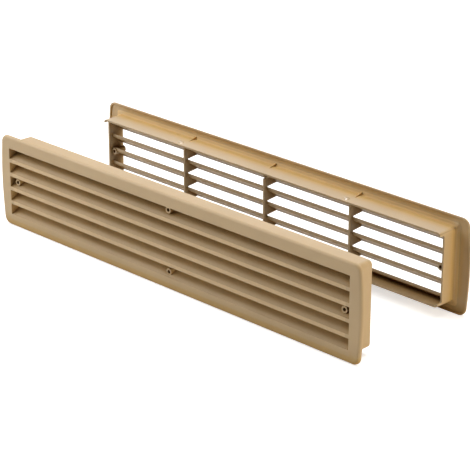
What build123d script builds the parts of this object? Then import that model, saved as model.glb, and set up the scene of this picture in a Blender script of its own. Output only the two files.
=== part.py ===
from build123d import *
from math import cos, radians, sin, tan
import os

os.makedirs("parts", exist_ok=True)

# Door vent grille in two moulded halves, one for each face of a door, in millimetres.
# The origin is the middle of the plane where the outside half bears on the door.
# X runs along the grille, Z is up and the outside half faces -Y. The inside half faces
# +Y and stands apart behind it, drawn straight back along Y.

# Louvres, the same in both halves
slot_count = 5
slot_pitch = 14.0          # from one slot to the next
slot_length = 421.8        # inside half, from end to end at the face
lip_height = 3.8           # upright front edge of a blade
lip_top = 1.0              # level ledge on top of the lip
lip_under = 1.6            # level underside of the lip
lip_round = 0.5
mouth_round = 0.35         # edge of the flange around the slots
blade_depth = 14.5         # from the face to the inner edge
blade_rise = 9.8           # how far the underside climbs on its way in
blade_edge = 2.9           # height of the inner edge

# Mullions that carry the blades, with a saw-tooth of webs below them
mullion_spacing = 105.0
mullion_side = 1           # how many stand on each side of the middle one
mullion_width = 2.0
bar_lap = 0.9              # overlap of the upright bar and the blades' inner edges
bar_depth = 4.2
web_drop = 1.0             # how far a web falls from its lip to the bar

# Collars, the inside half's sliding into the outside half's
wall = 1.8
draft = 1.0                # degrees
collar_corner = 4.0
collar_foot = 1.6          # round where the collar leaves the flange
field_margin = 0.15        # above and below the slots in the inside half
slide_gap_x = 1.7
slide_gap_z = 2.15
outside_depth = 25.5       # from the face to the rim
inside_depth = 23.7
apart = 92.3               # clear distance between the two rims

# Flange, with a hollow back inside a rim that bears on the door
border_x = 12.3            # from the outside collar's rim line to the flange's edge
border_z = 6.0
end_bow = 2.6              # bulge of each short end
flange_corner = 8.0
face_corner = 5.2          # corner where the flat of the face begins
flange_plate = 2.0
flange_lip = 1.0
rim_width = 1.6
edge_upright = 0.6         # straight part of the edge next to the door
edge_width = 2.8           # how far in from the edge the face rounds over
edge_steps = 4

# Screw bosses, a tube at each end and at mid-length above and below
boss_d = 6.4
bore_d = 3.4
boss_setback = 3.0         # front ring behind the face
boss_length = 12.5
boss_end_inset = 3.65      # from the end of the inside half's slots to the axis
boss_edge_inset = 3.7      # from the outermost slot edge to the axis

# Only on the inside half
end_setback = 5.5          # end walls behind the rim of the long walls
hook_height = 3.4          # turned-in corner left on the long walls
hook_round = 2.0
bump_d = 7.0
bump_height = 1.3
bump_from_rim = 4.8
bump_aside = 3.5           # from a mullion's plane to the bump beside it
gusset_length = 10.0
gusset_height = 2.3
gusset_width = 0.9

# Sizes that follow from these
flange_depth = flange_plate + flange_lip
field_z = (slot_count * slot_pitch - lip_height) / 2
lip_bottoms = [row * slot_pitch - field_z - lip_height for row in range(slot_count)]
mullions_x = [n * mullion_spacing for n in range(-mullion_side, mullion_side + 1)]
bar_front = blade_depth - bar_lap
boss_x = slot_length / 2 - boss_end_inset
boss_z = field_z - boss_edge_inset


def widening(length):
    """Growth of a drafted wall, on each side, along a length."""
    return length * tan(radians(draft))


# Half sizes of the collars: the inside one around the slots, the outside one around it
inside_run = inside_depth - flange_plate
inside_foot_x = slot_length / 2 + wall
inside_foot_z = field_z + field_margin + wall
inside_rim_x = inside_foot_x - widening(inside_run)
inside_rim_z = inside_foot_z - widening(inside_run)
outside_rim_x = inside_foot_x + slide_gap_x + wall
outside_rim_z = inside_foot_z + slide_gap_z + wall
flange_x = outside_rim_x + border_x
flange_z = outside_rim_z + border_z

# Door planes of the two halves, each with its normal pointing out of the door
outside_door = Plane.XZ
door_gap = outside_depth - flange_depth + apart + inside_depth - flange_depth
inside_door = Plane(origin=(0, door_gap, 0), x_dir=(-1, 0, 0), z_dir=(0, 1, 0))


def side_view(door, x):
    """Plane across a half at x: its own x runs inward from the door plane, y is up."""
    return Plane(origin=door.origin + door.x_dir * x, x_dir=door.z_dir * -1, z_dir=door.x_dir)


def flange_outline(plane, inset, corner):
    """The flange's outline drawn in by an inset, with bowed short ends."""
    half_x = flange_x - inset
    half_z = flange_z - inset
    end_x = half_x - end_bow
    with BuildSketch(plane) as outline:
        with BuildLine():
            Line((-end_x, half_z), (end_x, half_z))
            ThreePointArc((end_x, half_z), (half_x, 0), (end_x, -half_z))
            Line((end_x, -half_z), (-end_x, -half_z))
            ThreePointArc((-end_x, -half_z), (-half_x, 0), (-end_x, half_z))
        make_face()
        fillet(outline.vertices(), radius=corner)
    return outline.sketch


def flange_sections(door):
    """Outlines from the door plane up to the face, along a quarter of an ellipse."""
    sections = [flange_outline(door, 0, flange_corner)]
    for step in range(edge_steps + 1):
        turn = radians(90 * step / edge_steps)
        share = 1 - cos(turn)
        height = edge_upright + (flange_depth - edge_upright) * sin(turn)
        corner = flange_corner + (face_corner - flange_corner) * share
        sections.append(flange_outline(door.offset(height), edge_width * share, corner))
    return sections


def blade_section(plane, lip_bottom, front, corner):
    """A blade that climbs inward from its upright lip, which starts at the given front."""
    face = -flange_depth
    inner = face + blade_depth
    with BuildSketch(plane) as section:
        with BuildLine():
            Polyline(
                (front, lip_bottom),
                (front, lip_bottom + lip_height),
                (face + lip_top, lip_bottom + lip_height),
                (inner, lip_bottom + blade_rise + blade_edge),
                (inner, lip_bottom + blade_rise),
                (face + lip_under, lip_bottom),
                close=True,
            )
        make_face()
        if corner:
            fillet(section.vertices().group_by(Axis.X)[0], radius=corner)
    return section.sketch


def web_section(plane, lip_bottom):
    """The web below a blade, between its underside and the bar."""
    face = -flange_depth
    heart = face + blade_depth
    root = face + lip_under
    climb = blade_edge / 3
    with BuildSketch(plane) as section:
        with BuildLine():
            Polyline(
                (root, lip_bottom),
                (root, lip_bottom + climb),
                (heart, lip_bottom + blade_rise + climb),
                (heart, lip_bottom - web_drop),
                close=True,
            )
        make_face()
    return section.sketch


def louvres(door, half_x, half_z):
    """Blades, mullion bars and webs, trimmed to the middle of the collar's walls."""
    face = -flange_depth
    with BuildPart() as field:
        for lip_bottom in lip_bottoms[1:]:
            blade = blade_section(side_view(door, 0), lip_bottom, face, lip_round)
            extrude(to_extrude=blade, amount=half_x, both=True)
        sill = blade_section(side_view(door, 0), lip_bottoms[0], face + 0.75 * lip_top, 0)
        extrude(to_extrude=sill, amount=half_x, both=True)
        for x in mullions_x:
            for lip_bottom in lip_bottoms:
                web = web_section(side_view(door, x), lip_bottom)
                extrude(to_extrude=web, amount=mullion_width / 2, both=True)
            with BuildSketch(side_view(door, x)):
                with Locations((face + bar_front + bar_depth / 2, 0)):
                    Rectangle(bar_depth, 2 * half_z)
            extrude(amount=mullion_width / 2, both=True)
        with BuildSketch(door):
            Rectangle(2 * half_x, 2 * half_z)
        extrude(amount=blade_depth + bar_depth + flange_depth, both=True, mode=Mode.INTERSECT)
    return field.part


def grille_half(door, rim_x, rim_z, depth):
    """Flange, collar, louvres and bosses; the rim's half sizes and depth are given."""
    run = depth - flange_plate
    rim = door.offset(flange_depth - depth)
    slot_x = rim_x - wall + widening(run)
    with BuildPart() as half:
        loft(sections=flange_sections(door), ruled=True)
        extrude(
            to_extrude=flange_outline(door, rim_width, flange_corner - rim_width),
            amount=flange_lip,
            mode=Mode.SUBTRACT,
        )

        # Collar, from its rim to the middle of the plate
        with BuildSketch(rim):
            RectangleRounded(2 * rim_x, 2 * rim_z, collar_corner)
        extrude(amount=run + flange_plate / 2, taper=-draft)
        foot = half.edges().filter_by(
            lambda e: abs(door.to_local_coords(e.center()).Z - flange_lip) < 0.01
            and abs(door.to_local_coords(e.center()).X) < rim_x + widening(run) + 0.01
            and abs(door.to_local_coords(e.center()).Y) < rim_z + widening(run) + 0.01
        )
        fillet(foot, radius=collar_foot)
        with BuildSketch(rim):
            RectangleRounded(2 * (rim_x - wall), 2 * (rim_z - wall), collar_corner - wall)
        extrude(amount=run, taper=-draft, mode=Mode.SUBTRACT)

        # Opening in the plate, with its front edge rounded
        with BuildSketch(door):
            Rectangle(2 * slot_x, 2 * field_z)
        extrude(amount=2 * flange_depth, mode=Mode.SUBTRACT)
        mouth = half.edges().filter_by(
            lambda e: abs(door.to_local_coords(e.center()).Z - flange_depth) < 0.01
            and abs(door.to_local_coords(e.center()).X) < slot_x + 0.01
            and abs(door.to_local_coords(e.center()).Y) < field_z + 0.01
        )
        fillet(mouth, radius=mouth_round)

        add(louvres(door, rim_x - wall / 2, rim_z - wall / 2))

        # Screw bosses; the middle ones interrupt the bar of their mullion
        axes = [(-boss_x, 0), (boss_x, 0), (0, boss_z), (0, -boss_z)]
        front_ring = door.offset(flange_depth - boss_setback)
        with BuildSketch(front_ring):
            with Locations(*axes):
                Circle(boss_d / 2)
        extrude(amount=-boss_length)
        with BuildSketch(front_ring.offset(-boss_length)):
            with Locations(*axes):
                Circle(boss_d / 2)
        extrude(amount=-bar_depth, mode=Mode.SUBTRACT)
        with BuildSketch(door.offset(flange_depth)):
            with Locations(*axes):
                Circle(bore_d / 2)
        extrude(amount=-boss_setback - boss_length, mode=Mode.SUBTRACT)
    return half.part


def snap_bump(x, up):
    """A domed bump on the upper (up = 1) or lower (up = -1) wall of the inside collar."""
    depth = inside_depth - flange_depth - bump_from_rim
    surface_z = inside_rim_z + widening(bump_from_rim)
    ball = (bump_d**2 / 4 + bump_height**2) / (2 * bump_height)
    centre = inside_door.from_local_coords((x, up * (surface_z + bump_height - ball), -depth))
    with BuildPart() as bump:
        with Locations(centre):
            Sphere(ball)
        split(bisect_by=Plane(origin=(0, 0, up * (surface_z - wall / 2)), z_dir=(0, 0, up)))
    return bump.part


with BuildPart() as front_half:
    add(grille_half(outside_door, outside_rim_x, outside_rim_z, outside_depth))

with BuildPart() as rear_half:
    add(grille_half(inside_door, inside_rim_x, inside_rim_z, inside_depth))
    rim_at = inside_depth - flange_depth

    # End walls set back between hooked corners of the long walls
    for side in (-1, 1):
        with BuildSketch(side_view(inside_door, side * (inside_rim_x - 2 * wall))):
            with Locations((rim_at + hook_round, 0)):
                RectangleRounded(
                    2 * (end_setback + hook_round), 2 * (inside_rim_z - hook_height), hook_round
                )
        extrude(amount=side * 4 * wall, mode=Mode.SUBTRACT)

    # Low domes that snap behind the other collar, above and below, beside the mullions
    for up in (-1, 1):
        for x in (-mullion_spacing, mullion_spacing):
            add(snap_bump(x + bump_aside, up))

    # Thin gussets from the flange's back to the long walls, in line with the mullions
    for up in (-1, 1):
        for x in mullions_x:
            with BuildSketch(side_view(inside_door, x)):
                with BuildLine():
                    Polyline(
                        (-flange_lip - flange_plate / 4, up * (inside_foot_z - wall / 2)),
                        (-flange_lip - flange_plate / 4, up * (inside_foot_z + gusset_height)),
                        (-flange_lip, up * (inside_foot_z + gusset_height)),
                        (gusset_length - flange_lip, up * (inside_foot_z - widening(gusset_length))),
                        (gusset_length - flange_lip, up * (inside_foot_z - wall / 2)),
                        close=True,
                    )
                make_face()
            extrude(amount=gusset_width / 2, both=True)

front_half.part.label = "front_half"
export_step(front_half.part, "parts/front_half.step")
rear_half.part.label = "rear_half"
export_step(rear_half.part, "parts/rear_half.step")
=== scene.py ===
from math import cos, radians, sin
from types import SimpleNamespace

import bpy
from mathutils import Matrix, Vector


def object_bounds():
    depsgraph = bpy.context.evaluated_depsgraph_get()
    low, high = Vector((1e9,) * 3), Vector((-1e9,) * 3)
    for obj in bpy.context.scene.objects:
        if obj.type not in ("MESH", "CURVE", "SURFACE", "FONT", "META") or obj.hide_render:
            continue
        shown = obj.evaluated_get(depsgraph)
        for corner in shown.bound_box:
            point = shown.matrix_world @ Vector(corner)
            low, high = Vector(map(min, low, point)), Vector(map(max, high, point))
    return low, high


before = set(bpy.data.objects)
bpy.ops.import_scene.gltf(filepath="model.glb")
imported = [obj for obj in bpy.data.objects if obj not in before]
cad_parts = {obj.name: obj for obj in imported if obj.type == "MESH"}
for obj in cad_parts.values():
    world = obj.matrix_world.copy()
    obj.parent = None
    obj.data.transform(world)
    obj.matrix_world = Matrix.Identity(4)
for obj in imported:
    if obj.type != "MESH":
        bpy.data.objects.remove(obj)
cad_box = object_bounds()
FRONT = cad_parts["front_half"]
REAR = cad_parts["rear_half"]

# Places on the part, in metres; an inset is measured from a flange's back into the grille
SLOTS_HALF_X = 0.2109
SLOTS_HALF_Z = 0.0331
HALF_WALL = 0.0009
LIP_INSET = -0.0017  # the lips and the flange's face lie before this
COVE_INSET = -0.0005  # the cove starts no earlier than this
GUSSET_OVER = -0.003  # upright sides short of this are the gussets', past it the collar's ends
SHADED_INSETS = (0.004, 0.011)
RIM_INSETS = (0.005, 0.013)
BUMP_X = 0.105  # snap bumps on either side, both moved by the shift
BUMP_SHIFT = 0.0035
BUMP_Y = 0.1196
BUMP_RADIUS = 0.0033

# One half each: foot is where the collar leaves the flange's back, which lies at y = back. The last
# three values set the painted shade in the deepest corners, the painted shade on steep faces
# inside, and the painted light near the collar's rim.
OUTSIDE_HALF = SimpleNamespace(
    name="outside_plastic",
    foot_x=0.2166,
    foot_z=0.0394,
    back=-0.001,
    inward=1,
    corner_span=1.0,
    deepest_shade=(0.12, 0.08, 0.04),
    shaded=1.0,
    top_light=0.0,
)
INSIDE_HALF = SimpleNamespace(
    name="inside_plastic",
    foot_x=0.2127,
    foot_z=0.03505,
    back=0.1365,
    inward=-1,
    corner_span=0.92,
    deepest_shade=(0.5, 0.33, 0.2),
    shaded=0.77,
    top_light=1.0,
)

# Plastic of both mouldings: a satin beige with a fine moulded grain
BEIGE = (0.535, 0.378, 0.202)
DRIFT = (0.955, 1.03)  # darkest and lightest share of the beige
# Painted light: flat faces near the rim of the inside half's collar are made paler by this tint
PAINTED_TOP_LIGHT = (1.03, 1.1, 1.32, 1)
ROUGHNESS = (0.39, 0.5)
POLISHED = 0.12  # roughness of the snap bumps
GLOSS = (0.06, 0.44)  # specular level in corners and in the open
GLOSS_OPENNESS = (0.45, 0.95)
REFRACTION = 1.49
CORNER_REACH = 0.014
EDGE_SOFTNESS = 0.0003
# Painted light: lips that face the front are made lighter by this share
LIP_PAINTED_LIGHT = 0.15
LIP_FACING = 0.8
FACING = 0.7  # share of a normal above which a face counts as facing along that axis
SHARP_ANGLE = 32

# Scale, detail and roughness of the noises
DRIFT_NOISE = (22.0, 3.0, 0.5)
SHEEN_NOISE = (240.0, 4.0, 0.5)
WAVE_NOISE = (60.0, 2.0, 0.5)
GRAIN_NOISE = (3200.0, 3.0, 0.6)

# Wide cove between the collar and the flange's back: normals turned as a cove would turn them, and
# a band of painted light on it
COVE_REACH = 0.006
COVE_TURN_FLANGE = 1.4
COVE_TURN_COLLAR = 0.7
COVE_PAINTED_LIGHT = 0.45
PAINTED_LIGHT_BAND = (0.3, 0.52)  # the lighter band fades in between these strengths of the cove
COLLAR_SHARE = 0.4  # share of the gain on the collar's side
FLANGE_RISE = 6.0  # how fast the share grows to 1 as a face turns to the flange's side
TINY = 0.00001

# Floor and world
FLOOR_SIZE = 14
FLOOR_COLOUR = (0.84, 0.84, 0.83, 1)
FLOOR_GLOW = (0.62, 1.0)  # near the part and far from it
GLOW_REACH = (0.5, 1.6)
WORLD_LIGHT = 0.05
WHITE = (1, 1, 1, 1)
LIT_POINT = (0, 0.06, 0)  # between the two halves


class Graph:
    """A node tree, cleared, with short ways to add and join nodes."""

    def __init__(self, owner):
        owner.use_nodes = True
        self.tree = owner.node_tree
        self.tree.nodes.clear()

    def put(self, socket, value):
        if isinstance(value, bpy.types.NodeSocket):
            self.tree.links.new(value, socket)
        else:
            socket.default_value = value

    def node(self, kind, inputs=None, **settings):
        node = self.tree.nodes.new("ShaderNode" + kind)
        for key, value in settings.items():
            setattr(node, key, value)
        for key, value in (inputs or {}).items():
            self.put(node.inputs[key], value)
        return node

    def math(self, operation, first, second=None):
        node = self.node("Math", {0: first}, operation=operation)
        if second is not None:
            self.put(node.inputs[1], second)
        return node.outputs["Value"]

    def times(self, first, *others):
        for other in others:
            first = self.math("MULTIPLY", first, other)
        return first

    def plus(self, first, second):
        return self.math("ADD", first, second)

    def minus(self, first, second):
        return self.math("SUBTRACT", first, second)

    def larger(self, first, second):
        return self.math("MAXIMUM", first, second)

    def above(self, value, limit):
        return self.math("GREATER_THAN", value, limit)

    def below(self, value, limit):
        return self.math("LESS_THAN", value, limit)

    def absolute(self, value):
        return self.math("ABSOLUTE", value)

    def length(self, first, second):
        return self.math("SQRT", self.plus(self.times(first, first), self.times(second, second)))

    def parts(self, vector):
        node = self.node("SeparateXYZ", {"Vector": vector})
        return [node.outputs[axis] for axis in "XYZ"]

    def fade(self, value, start, end, low=0.0, high=1.0, kind="LINEAR"):
        """Low where the value is at the start, high where it is at the end."""
        inputs = {"Value": value, "From Min": start, "From Max": end, "To Min": low, "To Max": high}
        return self.node("MapRange", inputs, interpolation_type=kind).outputs["Result"]

    def ramp(self, value, *stops):
        """Colour by value, from stops of (position, red, green, blue)."""
        node = self.node("ValToRGB", {"Fac": value})
        elements = node.color_ramp.elements
        for element, stop in ((elements[0], stops[0]), (elements[1], stops[-1])):
            element.position = stop[0]
            element.color = (*stop[1:], 1)
        for stop in stops[1:-1]:
            elements.new(stop[0]).color = (*stop[1:], 1)
        return node.outputs["Color"]

    def between(self, factor, first, second):
        """First number where the factor is 0, second where it is 1."""
        inputs = {"Factor": factor, "A": first, "B": second}
        return self.node("Mix", inputs, data_type="FLOAT").outputs["Result"]

    def tint(self, factor, first, second, kind="MULTIPLY"):
        """The first colour, blended with the second as far as the factor says."""
        inputs = {"Factor": factor, 6: first, 7: second}
        return self.node("Mix", inputs, data_type="RGBA", blend_type=kind).outputs[2]

    def noise(self, place, scale, detail, roughness):
        inputs = {"Vector": place, "Scale": scale, "Detail": detail, "Roughness": roughness}
        return self.node("TexNoise", inputs).outputs["Fac"]

    def bump(self, height, normal, strength, distance):
        inputs = {"Strength": strength, "Distance": distance, "Height": height, "Normal": normal}
        return self.node("Bump", inputs).outputs["Normal"]


def where(g, place, half):
    """Where a point lies on a half: its coordinates, and how far from collar and flange."""
    x, y, z = g.parts(place)
    at = SimpleNamespace(x=x, y=y, z=z)
    at.over_x = g.minus(g.absolute(x), half.foot_x)
    over_z = g.minus(g.absolute(z), half.foot_z)
    at.outside = g.above(g.larger(at.over_x, over_z), -HALF_WALL)
    at.out_x = g.larger(at.over_x, 0.0)
    at.out_z = g.larger(over_z, 0.0)
    at.out = g.length(at.out_x, at.out_z)
    at.inset = g.times(g.minus(y, half.back), half.inward)
    return at


def cove_strength(g, at):
    """1 at the foot of the collar, falling to 0 along the collar and up the flange's back."""
    up = g.fade(at.out, 0.0, COVE_REACH, 1.0, 0.0)
    along = g.fade(g.larger(at.inset, 0.0), 0.0, COVE_REACH, 1.0, 0.0)
    return g.times(up, along, at.outside, g.above(at.inset, COVE_INSET))


def cove_normal(g, at, cove, normal, half):
    """The normal turned as a wide cove between the collar and the flange's back would."""
    nx, ny, nz = normal
    rise = g.times(cove, COVE_TURN_FLANGE, g.absolute(ny))
    rise = g.math("DIVIDE", rise, g.larger(at.out, TINY))
    lean = g.times(cove, COVE_TURN_COLLAR * half.inward, g.length(nx, nz))
    turned = {
        "X": g.plus(nx, g.times(rise, at.out_x, g.math("SIGN", at.x))),
        "Y": g.plus(ny, lean),
        "Z": g.plus(nz, g.times(rise, at.out_z, g.math("SIGN", at.z))),
    }
    vector = g.node("CombineXYZ", turned).outputs["Vector"]
    return g.node("VectorMath", {0: vector}, operation="NORMALIZE").outputs["Vector"]


def painted_corner_shade(g, at, openness, half):
    """Painted shade, browner in corners and slots; painted golden bounce light only where the
    collar leaves the flange.
    """
    span = half.corner_span
    slots = g.ramp(
        openness,
        (0.0, *half.deepest_shade),
        (0.3 * span, 0.48, 0.375, 0.22),
        (0.6 * span, 0.97, 0.89, 0.72),
        (0.85 * span, 1, 1, 1),
    )
    foot = g.ramp(
        openness,
        (0.0, 0.9, 0.79, 0.55),
        (0.4, 0.94, 0.825, 0.55),
        (0.72, 1.0, 0.915, 0.64),
        (0.85, 1.0, 0.97, 0.89),
        (0.93, 1, 1, 1),
    )
    return g.tint(at.outside, slots, foot, "MIX")


def painted_light_level(g, at, cove, normal, half):
    """Painted light in the cove and on the lips, painted shade where the other half shades the
    slots.
    """
    nx, ny, nz = (g.absolute(part) for part in normal)

    # Outside the collar: the cove's band of painted light, which also runs over the sides of the
    # gussets
    band = g.fade(cove, *PAINTED_LIGHT_BAND, kind="SMOOTHSTEP")
    on_flange = g.math("MINIMUM", g.times(ny, FLANGE_RISE), 1.0)
    on_flange = g.plus(g.times(on_flange, 1 - COLLAR_SHARE), COLLAR_SHARE)
    on_gusset = g.times(nx, g.below(at.over_x, GUSSET_OVER))
    band = g.times(band, g.larger(on_flange, on_gusset), COVE_PAINTED_LIGHT)
    beyond = g.times(at.outside, g.plus(band, 1.0))

    # Inside it: painted light on the lips, and painted shade on the steep faces behind them
    steep = g.times(at.inset, g.below(nz, FACING))
    deep = g.fade(steep, *SHADED_INSETS, 1.0, half.shaded)
    lip = g.times(
        g.below(at.inset, LIP_INSET),
        g.above(ny, LIP_FACING),
        g.below(g.absolute(at.z), SLOTS_HALF_Z),
        g.below(g.absolute(at.x), SLOTS_HALF_X),
    )
    within = g.times(deep, g.plus(g.times(lip, LIP_PAINTED_LIGHT), 1.0))
    return g.plus(beyond, g.times(g.minus(1.0, at.outside), within))


def on_bump(g, at):
    """1 on the domes that snap into the other half, else 0."""
    x = g.minus(g.absolute(g.plus(at.x, BUMP_SHIFT)), BUMP_X)
    y = g.minus(at.y, BUMP_Y)
    return g.times(g.below(g.length(x, y), BUMP_RADIUS), at.outside)


def moulded_plastic(half):
    material = bpy.data.materials.new(half.name)
    g = Graph(material)
    place = g.node("TexCoord").outputs["Object"]
    at = where(g, place, half)
    normal = g.parts(g.node("Bevel", {"Radius": EDGE_SOFTNESS}, samples=6).outputs["Normal"])
    corner = g.node("AmbientOcclusion", {"Distance": CORNER_REACH}, samples=8)
    openness = corner.outputs["AO"]
    cove = cove_strength(g, at)
    bump = on_bump(g, at)

    # Beige that drifts slowly, as in a moulding that cooled unevenly
    low, high = ([part * share for part in BEIGE] for share in DRIFT)
    colour = g.ramp(g.noise(place, *DRIFT_NOISE), (0.3, *low), (0.7, *high))
    # Painted shade in corners and slots, and painted golden bounce light at the collar's foot
    colour = g.tint(1.0, colour, painted_corner_shade(g, at, openness, half))
    # Painted light on the cove, the gussets and the lips, painted shade on the inside half's steep
    # faces
    scaled = {0: colour, "Scale": painted_light_level(g, at, cove, normal, half)}
    colour = g.node("VectorMath", scaled, operation="SCALE").outputs["Vector"]

    # Painted light: paler toward the rim on top of the inside half's collar
    flat = g.times(g.above(g.absolute(normal[2]), FACING), at.outside)
    rim = g.fade(at.inset, *RIM_INSETS, 0.0, half.top_light)
    colour = g.tint(g.times(rim, flat), colour, PAINTED_TOP_LIGHT)

    # Gloss varies a little, and is faint in corners, where the part hides the studio
    sheen = g.fade(g.noise(place, *SHEEN_NOISE), 0.0, 1.0, *ROUGHNESS)
    gloss = g.fade(openness, *GLOSS_OPENNESS, *GLOSS)

    # A broad waviness, and on it a grain of a few tenths of a millimetre
    wavy = g.bump(g.noise(place, *WAVE_NOISE), cove_normal(g, at, cove, normal, half), 0.25, 0.0002)
    grainy = g.bump(g.noise(place, *GRAIN_NOISE), wavy, 0.12, 0.00005)

    surface = {
        "Base Color": colour,
        "Roughness": g.between(bump, sheen, POLISHED),
        "Specular IOR Level": g.between(bump, gloss, 1.0),
        "IOR": REFRACTION,
        "Normal": grainy,
        "Subsurface Weight": 0.12,
        "Subsurface Radius": (1.0, 0.6, 0.3),
        "Subsurface Scale": 0.0012,
    }
    shader = g.node("BsdfPrincipled", surface)
    g.node("OutputMaterial", {"Surface": shader.outputs["BSDF"]})
    return material


for node, half in ((FRONT, OUTSIDE_HALF), (REAR, INSIDE_HALF)):
    plastic = moulded_plastic(half)
    if node.data.materials:
        node.data.materials[0] = plastic
    else:
        node.data.materials.append(plastic)
    node.data.shade_smooth()
    node.data.set_sharp_from_angle(angle=radians(SHARP_ANGLE))


def plain_view(g):
    """1 for the rays that show the background itself or mirror it, else 0."""
    path = g.node("LightPath").outputs
    mirrored = g.larger(path["Is Camera Ray"], path["Is Glossy Ray"])
    return g.larger(mirrored, path["Is Transmission Ray"])


def floor_white():
    """Matt white that glows for the camera, less near the part, so that a soft shadow stays."""
    material = bpy.data.materials.new("floor_white")
    g = Graph(material)
    spot = g.node("TexCoord").outputs["Object"]
    away = g.node("VectorMath", {0: spot}, operation="LENGTH").outputs["Value"]
    strength = g.times(plain_view(g), g.fade(away, *GLOW_REACH, *FLOOR_GLOW))
    diffuse = g.node("BsdfDiffuse", {"Color": FLOOR_COLOUR}).outputs["BSDF"]
    glow = g.node("Emission", {"Color": WHITE, "Strength": strength}).outputs["Emission"]
    both = g.node("AddShader", {0: diffuse, 1: glow}).outputs["Shader"]
    g.node("OutputMaterial", {"Surface": both})
    return material


def studio():
    """Plain white behind, and a faint white as light."""
    world = bpy.data.worlds.new("studio")
    g = Graph(world)
    strength = g.between(plain_view(g), WORLD_LIGHT, 1.0)
    sky = g.node("Background", {"Color": WHITE, "Strength": strength}).outputs["Background"]
    g.node("OutputWorld", {"Surface": sky})
    return world


def lamp(name, place, size, power, colour=(1, 1, 1)):
    """A soft box that faces the middle between the two halves."""
    data = bpy.data.lights.new(name, "AREA")
    data.shape = "RECTANGLE"
    data.size, data.size_y = size
    data.energy = power
    data.color = colour
    soft_box = bpy.data.objects.new(name, data)
    bpy.context.scene.collection.objects.link(soft_box)
    soft_box.location = place
    aim = Vector(LIT_POINT) - Vector(place)
    soft_box.rotation_euler = aim.to_track_quat("-Z", "Y").to_euler()


# Floor, under the lower edges of the flanges
bpy.ops.mesh.primitive_plane_add(size=FLOOR_SIZE, location=(0, 0, cad_box[0][2]))
floor = bpy.context.object
floor.name = "floor"
floor.data.materials.append(floor_white())

bpy.context.scene.world = studio()
lamp("overhead", (0.1, 0.35, 1.5), (1.2, 1.0), 18)
lamp("high_left", (-1.1, -0.5, 1.0), (0.7, 0.7), 12)
lamp("front_left", (-1.3, -1.2, 0.45), (0.9, 0.6), 6.5)
lamp("right_side", (1.7, 0.34, 0.25), (0.4, 0.4), 12.5, (1.0, 0.87, 0.63))
lamp("behind", (-1.2, 1.5, 0.75), (1.0, 0.8), 3.5)

# Camera at the photograph's place, fitted in millimetres from the middle of the front face
AZ, EL, ROLL = radians(44.67), radians(22.244), radians(0.02)
RIGHT, UP, AWAY = -60.65, -6.16, 1730.53
FRONT_FACE = (0, -3, 0)
FOCAL_PX, PHOTO_PX = 1967.86, 470
SENSOR = 36
look = Vector((-sin(AZ) * cos(EL), cos(AZ) * cos(EL), -sin(EL)))
side = Vector((cos(AZ), sin(AZ), 0))
top = Vector((-sin(AZ) * sin(EL), cos(AZ) * sin(EL), cos(EL)))
place = -look * AWAY - side * RIGHT - top * UP + Vector(FRONT_FACE)
turn = Matrix((side, top, -look)).transposed().to_4x4() @ Matrix.Rotation(ROLL, 4, "Z")
camera_data = bpy.data.cameras.new("camera")
camera_data.sensor_width = SENSOR
camera_data.sensor_fit = "HORIZONTAL"
camera_data.lens = SENSOR * FOCAL_PX / PHOTO_PX
camera_data.clip_start = 0.05
camera_data.clip_end = 50
camera = bpy.data.objects.new("camera", camera_data)
bpy.context.scene.collection.objects.link(camera)
camera.matrix_world = Matrix.Translation(place / 1000) @ turn
bpy.context.scene.camera = camera
bpy.context.scene.view_settings.view_transform = "Standard"

bpy.context.view_layer.update()
